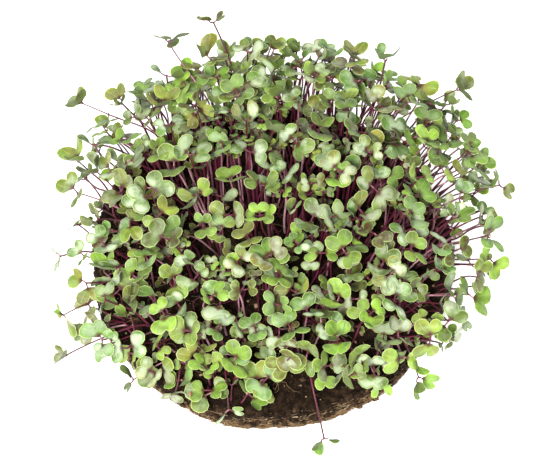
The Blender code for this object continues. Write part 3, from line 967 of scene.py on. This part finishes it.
def scatter_tree():
    """Places one of a collection's shapes on each point, turned and sized as the point says."""
    tree, given, out = growth_group("shapes on points", ("Shapes", "Collection", None))
    from_collection = {"Collection": given["Shapes"], "Separate Children": True, "Reset Children": True}
    shapes = add(tree, "GeometryNodeCollectionInfo", from_collection)
    turn = add(tree, "FunctionNodeEulerToRotation", {0: named(tree, "turn", "FLOAT_VECTOR")})
    on_points = {
        "Points": given["Geometry"],
        "Instance": shapes.outputs["Instances"],
        "Pick Instance": True,
        "Instance Index": named(tree, "form", "INT"),
        "Rotation": turn.outputs[0],
        "Scale": named(tree, "size", "FLOAT_VECTOR"),
    }
    placed = add(tree, "GeometryNodeInstanceOnPoints", on_points)
    real = add(tree, "GeometryNodeRealizeInstances", {0: placed.outputs[0]})
    return finish_tree(tree, rippled(tree, real.outputs[0], given), given, out)


def strand_tree():
    """Thin closed tubes along lines of points, as thick as each point says."""
    tree, given, out = growth_group("tubes along lines", ("Sides", "Int", 5))
    lines = add(tree, "GeometryNodeMeshToCurve", {0: rippled(tree, given["Geometry"], given)})
    ring = add(tree, "GeometryNodeCurvePrimitiveCircle", {"Resolution": given["Sides"], "Radius": 1.0})
    along_lines = {
        "Curve": lines.outputs[0],
        "Profile Curve": ring.outputs[0],
        "Scale": named(tree, "thick"),
        "Fill Caps": True,
    }
    tube = add(tree, "GeometryNodeCurveToMesh", along_lines)
    real = add(tree, "GeometryNodeRealizeInstances", {0: tube.outputs[0]})
    return finish_tree(tree, real.outputs[0], given, out)


# What the growth trees work on, and what they make


def linked(name, data):
    """A new object in the scene."""
    made = bpy.data.objects.new(name, data)
    bpy.context.scene.collection.objects.link(made)
    return made


def mesh_of(bm, name):
    """The mesh that a bmesh holds, which is freed."""
    made = bpy.data.meshes.new(name)
    bm.to_mesh(made)
    bm.free()
    return made


def set_values(mesh, kind, field, **values):
    """Attributes of a mesh's points, one value for each point."""
    for label, each in values.items():
        flat = np.array(each, np.int32 if kind == "INT" else np.float32).ravel()
        mesh.attributes.new(label, kind, "POINT").data.foreach_set(field, flat)


def points_base(name, places, turns, sizes, forms, **shares):
    """Loose points, each with the turn, size and form of the shape that goes on it."""
    mesh = bpy.data.meshes.new(name)
    mesh.from_pydata([tuple(p) for p in places], [], [])
    set_values(mesh, "FLOAT_VECTOR", "vector", turn=turns, size=sizes)
    set_values(mesh, "INT", "value", form=forms)
    set_values(mesh, "FLOAT", "value", **shares)
    return linked(name, mesh)


def lines_base(name, lines):
    """Lines of points. Each line is a list of points, the thickness at both ends and a tint."""
    places, edges, thick, along, tint = [], [], [], [], []
    for points, (low, high), shade in lines:
        start = len(places)
        last = len(points) - 1
        for i, point in enumerate(points):
            share = i / last
            places.append(tuple(point))
            thick.append(low + (high - low) * share)
            along.append(share)
            tint.append(shade)
        edges += [(start + i, start + i + 1) for i in range(last)]
    mesh = bpy.data.meshes.new(name)
    mesh.from_pydata(places, edges, [])
    set_values(mesh, "FLOAT", "value", thick=thick, along=along, tint=tint)
    return linked(name, mesh)


def shape_collection(name, meshes):
    """A collection of shapes that the growth trees pick from, kept out of the scene."""
    made = bpy.data.collections.new(name)
    for i, mesh in enumerate(meshes):
        made.objects.link(bpy.data.objects.new(f"{name}_{i}", mesh))
    return made


def grown(name, base, tree, values):
    """The plain mesh object that a growth tree makes of base, which is used up."""
    modifier = base.modifiers.new("growth", "NODES")
    modifier.node_group = tree
    for socket in tree.interface.items_tree:
        if socket.in_out == "INPUT" and socket.name in values:
            modifier[socket.identifier] = values[socket.name]
    graph = bpy.context.evaluated_depsgraph_get()
    mesh = bpy.data.meshes.new_from_object(
        base.evaluated_get(graph), preserve_all_data_layers=True, depsgraph=graph
    )
    base.modifiers.clear()
    bpy.data.objects.remove(base, do_unlink=True)
    mesh.name = name
    return linked(name, mesh)


# Leaves


class Blade:
    """A thin closed leaf under construction, whose upper and lower faces meet at its rim."""

    def __init__(self, surface):
        self.bm = bmesh.new()
        self.spot = self.bm.verts.layers.float_vector.new("blade")
        self.side = self.bm.faces.layers.float.new("under")
        self.surface = surface

    def vert(self, x, y, rim, lift=0.0):
        made = self.bm.verts.new((x, y, self.surface(x, y) + lift))
        made[self.spot] = (x, y, rim)
        return made

    def pair(self, x, y, rim, dip=0.0):
        """An inner point's two vertices, on the upper and on the lower face."""
        half = LEAF_THICKNESS / 2
        return self.vert(x, y, rim, half - dip), self.vert(x, y, rim, -half - dip)

    def faces(self, *corners):
        """A face on both sides, where an inner corner is a pair and a rim corner a single vertex."""
        for level in (0, 1):
            face = self.bm.faces.new([c[level] if isinstance(c, tuple) else c for c in corners])
            face[self.side] = float(level)

    def mesh(self, name):
        for edge in self.bm.edges:
            edge.smooth = edge.link_faces[0][self.side] == edge.link_faces[-1][self.side]
        bmesh.ops.recalc_face_normals(self.bm, faces=self.bm.faces)
        return mesh_of(self.bm, name)


def seed_leaf(name, radius, spread, second, cup, fold, droop):
    """A two-lobed seed leaf with its foot at the stalk: +X to its tip, +Z its upper face."""
    meet = math.acos(min(spread / radius, 1.0))

    def surface(x, y):
        lobe = spread if y >= 0 else spread * second
        away = min(math.hypot(x - LOBE_MIDDLE, abs(y) - lobe) / radius, 1.3)
        return cup * (away * away - 1) + fold * abs(y) * min(1.0, x / LOBE_MIDDLE) - droop * x * x

    blade = Blade(surface)
    near, far = (blade.pair(x, 0.0, 0.1, MIDRIB_DEPTH) for x in MIDRIB_AT)
    notch = blade.vert(LOBE_MIDDLE + radius * math.sin(meet), 0.0, 1.0)
    foot = blade.vert(LEAF_FOOT, 0.0, 0.6)
    for side, share in ((1, 1.0), (-1, second)):
        first = -math.pi / 2 + meet
        turns = [first + (LOBE_FROM_FOOT - first) * (i + 0.5) / LOBE_STEPS for i in range(LOBE_STEPS)]

        def on_lobe(turn, reach):
            along = LOBE_MIDDLE + radius * share * reach * math.cos(turn)
            return along, side * share * (spread + radius * reach * math.sin(turn))

        rim = [blade.vert(*on_lobe(turn, 1.0), 1.0) for turn in turns]
        ring = [blade.pair(*on_lobe(turn, INNER_SHARE), 0.35) for turn in turns]
        heart = blade.pair(*on_lobe(0.0, 0.0), 0.0)
        for i in range(LOBE_STEPS - 1):
            blade.faces(rim[i], rim[i + 1], ring[i + 1], ring[i])
            blade.faces(ring[i], ring[i + 1], heart)
        blade.faces(notch, rim[0], ring[0], far)
        blade.faces(ring[0], heart, far)
        blade.faces(heart, near, far)
        blade.faces(heart, ring[-1], near)
        blade.faces(rim[-1], foot, near)
        blade.faces(rim[-1], near, ring[-1])
    return blade.mesh(name)


def true_leaf(name, fold, droop):
    """A small toothed leaf: +X to its tip, +Z its upper face."""
    blade = Blade(lambda x, y: fold * abs(y) - droop * x * x)
    steps = 2 * TRUE_LEAF_TEETH
    foot = blade.vert(0.0, 0.0, 0.6)
    end = blade.vert(TRUE_LEAF_LENGTH, 0.0, 1.0)
    places = [TRUE_LEAF_LENGTH * i / steps for i in range(1, steps)]
    middle = [blade.pair(x, 0.0, 0.1, MIDRIB_DEPTH) for x in places]
    for side in (1, -1):
        rim = []
        for i, x in enumerate(places):
            half = TRUE_LEAF_HALF_WIDTH * math.sin(math.pi * (x / TRUE_LEAF_LENGTH) ** 1.25) + 0.0003
            tooth = TOOTH_DEPTH * half * (1 if i % 2 else -1)
            rim.append(blade.vert(x + 0.3 * tooth, side * (half + tooth), 1.0))
        for i in range(len(places) - 1):
            blade.faces(middle[i], middle[i + 1], rim[i + 1], rim[i])
        blade.faces(foot, middle[0], rim[0])
        blade.faces(middle[-1], end, rim[-1])
    return blade.mesh(name)


def axes_from(ahead, beside):
    return Matrix((ahead, beside, ahead.cross(beside))).transposed()


def leaf_turn(rng, axes, side, seedling, size):
    """A seed leaf's axes, drawn again while the leaf would stand above the canopy's top."""
    for _ in range(LEAF_TRIES):
        rise = seedling["open"] + rng.gauss(0.0, RISE_SPREAD)
        ahead = axes @ Vector((side * math.cos(rise), 0.0, math.sin(rise)))
        twist = Euler([rng.gauss(0, spread) for spread in LEAF_TWIST]).to_matrix()
        leaf = axes_from(ahead, axes @ Vector((0.0, side, 0.0))) @ twist
        highest = max((leaf @ Vector(corner)).z for corner in LEAF_CORNERS)
        if seedling["tip"].z + size * highest < CANOPY_LIMIT:
            break
    return leaf


def pair_tints(rng, tip):
    """Tint, warmth and flush of a leaf pair, with painted shade added to the flush the deeper it stands under
    the canopy.
    """
    tint = rng.random() ** TINT_LEAN
    flush_and_shade = max(0.0, rng.gauss(FLUSH_MEAN, FLUSH_SPREAD))
    flush_and_shade += rng.uniform(*RED_LEAF) if rng.random() < RED_LEAF_CHANCE else 0.0
    warm = WARM_MOST * rng.random() ** WARM_LEAN
    # Painted shade: the deeper a leaf stands under the canopy's top, away from its rim, the more dark flush
    # colour it gets
    reach, azimuth = tip.to_2d().length, math.atan2(tip.y, tip.x)
    inside = max(0.0, 1.0 - (reach / canopy_rim(azimuth)) ** SHADE_RIM_POWER)
    depth = max(0.0, canopy_height(reach, azimuth) - tip.z - SHADE_DEPTH)
    return tint, warm, min(FLUSH_AND_SHADE_MOST, flush_and_shade + SHADE_FLUSH * inside * depth)


def leaf_places(seedlings):
    """Where every seed leaf goes: its stalk's foot, its own foot, axes, size, form and tints."""
    rng = random.Random(SEED + 3)
    leaves = []
    for seedling in seedlings:
        axes = leaf_axes(seedling)
        tip = seedling["tip"]
        tint, warm, flush_and_shade = pair_tints(rng, tip)
        for side in (-1, 1):
            size = seedling["size"] * rng.uniform(*LEAF_SHARE)
            size *= SMALL_LEAF if rng.random() < SMALL_LEAF_CHANCE else 1.0
            leaf = leaf_turn(rng, axes, side, seedling, size)
            leaves.append(
                {
                    "hub": tip,
                    "foot": tip + leaf @ Vector((1, 0, 0)) * rng.uniform(*STALK_REACH),
                    "leaf": leaf,
                    "size": size,
                    "form": rng.randrange(len(LEAF_FORMS)),
                    "tint": min(1.0, max(0.0, tint + rng.gauss(0, TINT_SPREAD))),
                    "warm": warm,
                    "flush_and_shade": flush_and_shade,
                }
            )
    return leaves


def true_leaf_places(seedlings):
    """Where the few true leaves go, each standing up from between two seed leaves."""
    rng = random.Random(SEED + 9)
    leaves = []
    lower = [s for s in seedlings if s["tip"].z < CANOPY_LIMIT - TRUE_LEAF_ROOM * TRUE_LEAF_LENGTH]
    for seedling in rng.sample(lower, TRUE_LEAVES):
        up = seedling["up"]
        aside = leaf_axes(seedling) @ Vector((0.0, rng.choice((-1, 1)), 0.0))
        ahead = (up * rng.uniform(*TRUE_LEAF_RISE) + aside).normalized()
        leaf = {
            "foot": seedling["tip"],
            "leaf": axes_from(ahead, ahead.cross(up).normalized()),
            "size": rng.uniform(*TRUE_LEAF_SIZE),
            "form": rng.randrange(len(TRUE_LEAF_FORMS)),
        }
        leaves.append(leaf | {label: rng.random() * most for label, most in TRUE_LEAF_TINTS})
    return leaves


def leaves_on_points(name, leaves, shapes, tree, material):
    """One piece of all those leaves, each on its own point."""
    base = points_base(
        name + "_points",
        [leaf["foot"] for leaf in leaves],
        [leaf["leaf"].to_euler("XYZ") for leaf in leaves],
        [(leaf["size"],) * 3 for leaf in leaves],
        [leaf["form"] for leaf in leaves],
        **{share: [leaf[share] for leaf in leaves] for share in ("tint", "warm", "flush_and_shade")},
    )
    ripple = {"Ripple": LEAF_RIPPLE, "Ripple scale": LEAF_RIPPLE_SCALE}
    return grown(name, base, tree, {"Material": material, "Shapes": shapes} | ripple)


# Stems, stalks and roots, each a line of points with the thickness at both ends and a tint


def stem_line(seedling, rng):
    """A stem's middle line, with a slight wander of its own between foot and tip."""
    wander = Vector((rng.gauss(0, 1), rng.gauss(0, 1), 0)) * STEM_WANDER
    points = []
    for i in range(STEM_POINTS):
        t = i / (STEM_POINTS - 1)
        sway = math.sin(math.pi * t) * math.sin(math.tau * t + seedling["turn"])
        points.append(bezier(seedling["root"], seedling["bend"], seedling["tip"], t) + wander * sway)
    share = rng.uniform(*STEM_THICK_SHARE)
    return points, [thick * share for thick in STEM_THICK], rng.random()


def stalk_line(leaf, rng):
    """A leaf stalk's middle line, from the stem's tip into the foot of its blade."""
    ahead = leaf["leaf"] @ Vector((1, 0, 0))
    end = leaf["foot"] + ahead * LEAF_FOOT * leaf["size"] * STALK_INTO_LEAF
    sag = leaf["leaf"] @ Vector((0, 0, -STALK_SAG))
    shares = [i / STALK_STEPS for i in range(STALK_STEPS + 1)]
    return [leaf["hub"].lerp(end, t) + sag * math.sin(math.pi * t) for t in shares], STALK_THICK, rng.random()


def side_root(rng):
    """A fine root that wanders over the block's side, mostly along it."""
    azimuth, z = rng.uniform(0, math.tau), ROOT_FROM + ROOT_RISE * rng.random() ** ROOT_LEAN
    heading = rng.gauss(0, 0.5) + (math.pi if rng.random() < 0.5 else 0.0)
    step, lift = rng.uniform(*ROOT_STEP), rng.uniform(*ROOT_LIFT)
    points = []
    for _ in range(rng.randrange(5, 10)):
        heading += rng.gauss(0, ROOT_WANDER)
        azimuth += math.cos(heading) * step / BLOCK_RADIUS
        z = min(max(z + math.sin(heading) * step * ROOT_SLOPE, ROOT_HEIGHTS[0]), ROOT_HEIGHTS[1])
        radius = outline_radius(block_radius_at(z), azimuth) + lift * rng.uniform(0.5, 1.2)
        points.append(polar(radius, azimuth, z))
    thick = rng.uniform(*ROOT_THICK)
    return points, (thick, thick * 0.5), rng.random()


def top_roots(count):
    """Threads that lie on the soil's top."""
    rng = random.Random(SEED + 8)
    lines = []
    for _ in range(count):
        spot = block_spot(rng, False)
        heading = rng.uniform(0, math.tau)
        points = []
        for _ in range(rng.randrange(5, 9)):
            heading += rng.gauss(0, THREAD_WANDER)
            spot = spot + polar(1, heading) * rng.uniform(*THREAD_STEP)
            if spot.to_2d().length > BLOCK_RADIUS - SPOT_INSET:
                break
            spot.z = soil_top(spot.x, spot.y) + rng.uniform(*THREAD_LIFT)
            points.append(spot)
        if len(points) > 2:
            thick = rng.uniform(*THREAD_THICK)
            lines.append((points, (thick, thick * 0.6), rng.random()))
    return lines


# The block


def block_radius_at(z):
    """The block's radius at a height, rounded at foot and shoulder."""
    (foot_high, foot_deep), (shoulder_high, shoulder_deep) = FOOT_ROUND, SHOULDER_ROUND
    foot = max(0.0, 1 - z / foot_high) ** 2 * foot_deep
    shoulder = max(0.0, (z - BLOCK_HEIGHT + shoulder_high) / shoulder_high) ** 2 * shoulder_deep
    return BLOCK_RADIUS - foot - shoulder


def rough(point, scale, amount):
    """A vector noise of that size of feature and that height."""
    return noise.noise_vector(point * scale) * amount


def side_point(radius, azimuth, low, high, share, crumble):
    """A point on a layer's side, that share of the way up it."""
    top = soil_top(radius * math.cos(azimuth), radius * math.sin(azimuth)) if crumble else high
    point = polar(radius, azimuth, low + (top - low) * share)
    if share > 0:
        point += rough(point, *SIDE_LUMPS) * min(1.0, share * 4) + rough(point, *SIDE_GRAINS)
    return point


def top_point(radius, azimuth, high, crumble):
    """A point on a layer's top."""
    point = polar(radius, azimuth, high)
    if crumble:
        point.z = soil_top(point.x, point.y)
        point += rough(point, *TOP_LUMPS) + rough(point, *TOP_GRAINS)
    return point


def block_mesh(name, low, high, rings, crumble):
    """A closed round layer with a crumbly side, and a crumbly top where crumble says so."""
    turns = [math.tau * k / BLOCK_TURNS for k in range(BLOCK_TURNS)]
    steps = max(3, int((high - low) / SIDE_STEP))
    rows = []
    for i in range(steps + 1):
        radius = block_radius_at(low + (high - low) * i / steps)
        rows.append([side_point(outline_radius(radius, t), t, low, high, i / steps, crumble) for t in turns])
    for i in range(1, rings):
        inner = radius * (1 - i / rings)
        wavy = i < rings // 3
        rows.append([top_point(outline_radius(inner, t) if wavy else inner, t, high, crumble) for t in turns])

    bm = bmesh.new()
    rows = [[bm.verts.new(point) for point in row] for row in rows]
    for lower, upper in zip(rows, rows[1:]):
        for k in range(BLOCK_TURNS):
            j = (k + 1) % BLOCK_TURNS
            bm.faces.new((lower[k], lower[j], upper[j], upper[k]))
    bm.faces.new(list(reversed(rows[0])))
    crown = bm.verts.new((0, 0, high))
    for k in range(BLOCK_TURNS):
        bm.faces.new((rows[-1][k], rows[-1][(k + 1) % BLOCK_TURNS], crown))
    mesh = mesh_of(bm, name)
    mesh.shade_smooth()
    return mesh


def add_plain(name, mesh, material):
    mesh.materials.append(material)
    return linked(name, mesh)


def crumb_shapes():
    """A few small lumps with broken faces."""
    meshes = []
    for i in range(CRUMB_FORMS):
        bm = bmesh.new()
        bmesh.ops.create_icosphere(bm, subdivisions=1, radius=1.0)
        for v in bm.verts:
            v.co += noise.noise_vector(v.co * 1.3 + Vector((i * 7.1, 0, 0))) * CRUMB_BREAK
        meshes.append(mesh_of(bm, f"crumb_{i}"))
    return meshes


def random_turn(rng):
    return Euler([rng.uniform(0, math.tau) for _ in range(3)])


def block_spot(rng, on_side):
    """A random place on the block's side or top."""
    azimuth = rng.uniform(0, math.tau)
    if on_side:
        lowest, highest = SIDE_CRUMB_HEIGHTS
        z = lowest + (highest - lowest) * rng.random() ** 0.6
        return polar(outline_radius(block_radius_at(z), azimuth), azimuth, z)
    radius = (BLOCK_RADIUS - SPOT_INSET) * math.sqrt(rng.random())
    return on_soil(radius * math.cos(azimuth), radius * math.sin(azimuth))


def crumbs_on_block(name, count, on_side, sizes, shapes, tree, material):
    """Crumbs on the block's side or top, most of them small."""
    rng = random.Random(SEED + 5 + on_side)
    places, turns, scales = [], [], []
    for _ in range(count):
        places.append(block_spot(rng, on_side))
        turns.append(random_turn(rng))
        size = sizes[0] + (sizes[1] - sizes[0]) * rng.random() ** 3
        scales.append([size * rng.uniform(*CRUMB_STRETCH) for _ in range(3)])
    forms = [rng.randrange(CRUMB_FORMS) for _ in places]
    tints = [rng.random() * (SIDE_TINT if on_side else 1.0) for _ in places]
    base = points_base(name + "_points", places, turns, scales, forms, tint=tints)
    return grown(name, base, tree, {"Material": material, "Shapes": shapes})


def coats_on_leaves(name, leaves, shapes, tree, material):
    """A few empty seed coats, still stuck to the rims of leaves."""
    rng = random.Random(SEED + 10)
    chosen = rng.sample(leaves, SEED_COATS)
    places = [leaf["foot"] + leaf["leaf"] @ Vector(COAT_SPOT) * leaf["size"] for leaf in chosen]
    forms = [rng.randrange(CRUMB_FORMS) for _ in chosen]
    turns = [random_turn(rng) for _ in chosen]
    base = points_base(name + "_points", places, turns, [COAT_SIZE for _ in chosen], forms)
    return grown(name, base, tree, {"Material": material, "Shapes": shapes})


# The object, its camera, its light and its floor


def finish_piece(piece):
    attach(piece, "root")
    return piece


def add_strands(name, lines, sides, tree, material):
    base = lines_base(name + "_lines", lines)
    finish_piece(grown(name, base, tree, {"Material": material, "Sides": sides}))


def add_crop(tuft_nodes, scatter, strands):
    """The seedlings' leaves, stems and stalks, in place of the tufts. Gives the seed leaves back."""
    stand = Stand()
    seedlings = grow(stand) + fill(stand)
    leaves = leaf_places(seedlings)
    tissue, strand = leaf_tissue_group(), strand_group()
    forms = shape_collection("leaf_form", [seed_leaf(f"seed_leaf_{i}", *f) for i, f in enumerate(LEAF_FORMS)])
    canopy = leaves_on_points("seed_leaves", leaves, forms, scatter, seed_leaf_material(tissue))
    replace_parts(finish_piece(canopy), *tuft_nodes)
    toothed = [true_leaf(f"true_leaf_{i}", *form) for i, form in enumerate(TRUE_LEAF_FORMS)]
    toothed = shape_collection("toothed_form", toothed)
    young = true_leaf_places(seedlings)
    finish_piece(leaves_on_points("true_leaves", young, toothed, scatter, true_leaf_material(tissue)))
    rng = random.Random(SEED + 4)
    lines = [stem_line(seedling, rng) for seedling in seedlings]
    add_strands("stems", lines, 6, strands, stem_material(strand))
    lines = [stalk_line(leaf, rng) for leaf in leaves]
    add_strands("leaf_stalks", lines, 5, strands, stalk_material(strand))
    return leaves, strand


def add_block(leaves, strand, scatter, strands):
    """The soil, the root mat, and what lies on them and sticks to the leaves."""
    earth = earth_group()
    soil = block_mesh("soil_block", MAT_HEIGHT + GAP, BLOCK_HEIGHT, SOIL_RINGS, True)
    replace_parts(finish_piece(add_plain("soil_block", soil, soil_material(earth))), "soil")
    mat = block_mesh("mat", 0.0, MAT_HEIGHT, MAT_RINGS, False)
    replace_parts(finish_piece(add_plain("root_mat_block", mat, mat_material(earth))), "root_mat")
    shapes = shape_collection("crumb", crumb_shapes())
    crumb, root = crumb_material(earth), root_material(strand)
    top = crumbs_on_block("soil_crumbs", TOP_CRUMBS, False, TOP_CRUMB_SIZES, shapes, scatter, crumb)
    finish_piece(top)
    side = crumbs_on_block("side_crumbs", SIDE_CRUMBS, True, SIDE_CRUMB_SIZES, shapes, scatter, crumb)
    finish_piece(side)
    coats = coats_on_leaves("seed_coats", leaves, shapes, scatter, seed_coat_material(earth))
    finish_piece(coats)
    rng = random.Random(SEED + 7)
    add_strands("side_roots", [side_root(rng) for _ in range(SIDE_ROOTS)], 4, strands, root)
    add_strands("top_roots", top_roots(TOP_ROOTS), 4, strands, root)


def add_camera():
    """A camera at the photograph's angle, with the block's foot where the photograph has it."""
    data = bpy.data.cameras.new("camera")
    camera = linked("camera", data)
    back = Vector((0, -math.cos(CAMERA_ELEVATION), math.sin(CAMERA_ELEVATION)))
    upward = Vector((0, math.sin(CAMERA_ELEVATION), math.cos(CAMERA_ELEVATION)))
    across = (PHOTO_WIDE / 2 - FOOT_AT[0]) * METRES_PER_PIXEL
    above = (FOOT_AT[1] - PHOTO_HIGH / 2) * METRES_PER_PIXEL
    camera.location = Vector((1, 0, 0)) * across + upward * above + back * CAMERA_DISTANCE
    camera.rotation_mode = "QUATERNION"
    camera.rotation_quaternion = (-back).to_track_quat("-Z", "Y")
    data.sensor_width = SENSOR
    data.lens = SENSOR * CAMERA_DISTANCE / (PHOTO_WIDE * METRES_PER_PIXEL)
    data.clip_start, data.clip_end = 0.05, 20.0
    bpy.context.scene.camera = camera


def add_light(name, spot, size, power, colour):
    data = bpy.data.lights.new(name, "AREA")
    data.shape = "DISK"
    data.size = size
    data.energy = power
    data.color = colour
    light = linked(name, data)
    light.location = spot
    light.rotation_mode = "QUATERNION"
    light.rotation_quaternion = (-Vector(spot)).to_track_quat("-Z", "Y")


def add_floor():
    """A wide sheet of white paper under the block, just clear of it."""
    bm = bmesh.new()
    bmesh.ops.create_grid(bm, x_segments=1, y_segments=1, size=FLOOR_HALF)
    white = bpy.data.materials.new("white paper")
    white.use_nodes = True
    shader = white.node_tree.nodes["Principled BSDF"]
    shader.inputs["Base Color"].default_value = (0.93, 0.93, 0.93, 1)
    shader.inputs["Roughness"].default_value = 0.9
    shader.inputs["Emission Color"].default_value = (1, 1, 1, 1)
    shader.inputs["Emission Strength"].default_value = FLOOR_GLOW
    floor = add_plain("floor", mesh_of(bm, "floor"), white)
    floor.location.z = -FLOOR_DROP


def add_sky():
    world = bpy.data.worlds.new("white tent")
    world.use_nodes = True
    background = world.node_tree.nodes["Background"]
    background.inputs["Color"].default_value = (1.0, 1.0, 1.0, 1)
    background.inputs["Strength"].default_value = SKY_GLOW
    bpy.context.scene.world = world
    bpy.context.scene.view_settings.view_transform = "Standard"


def main():
    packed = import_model()
    noise.seed_set(SEED)
    scatter, strands = scatter_tree(), strand_tree()
    tuft_nodes = [n for n in packed["nodes"] if n.startswith("tuft_")]
    leaves, strand = add_crop(tuft_nodes, scatter, strands)
    add_block(leaves, strand, scatter, strands)
    add_camera()
    add_floor()
    add_sky()
    for light in LIGHTS:
        add_light(*light)


main()
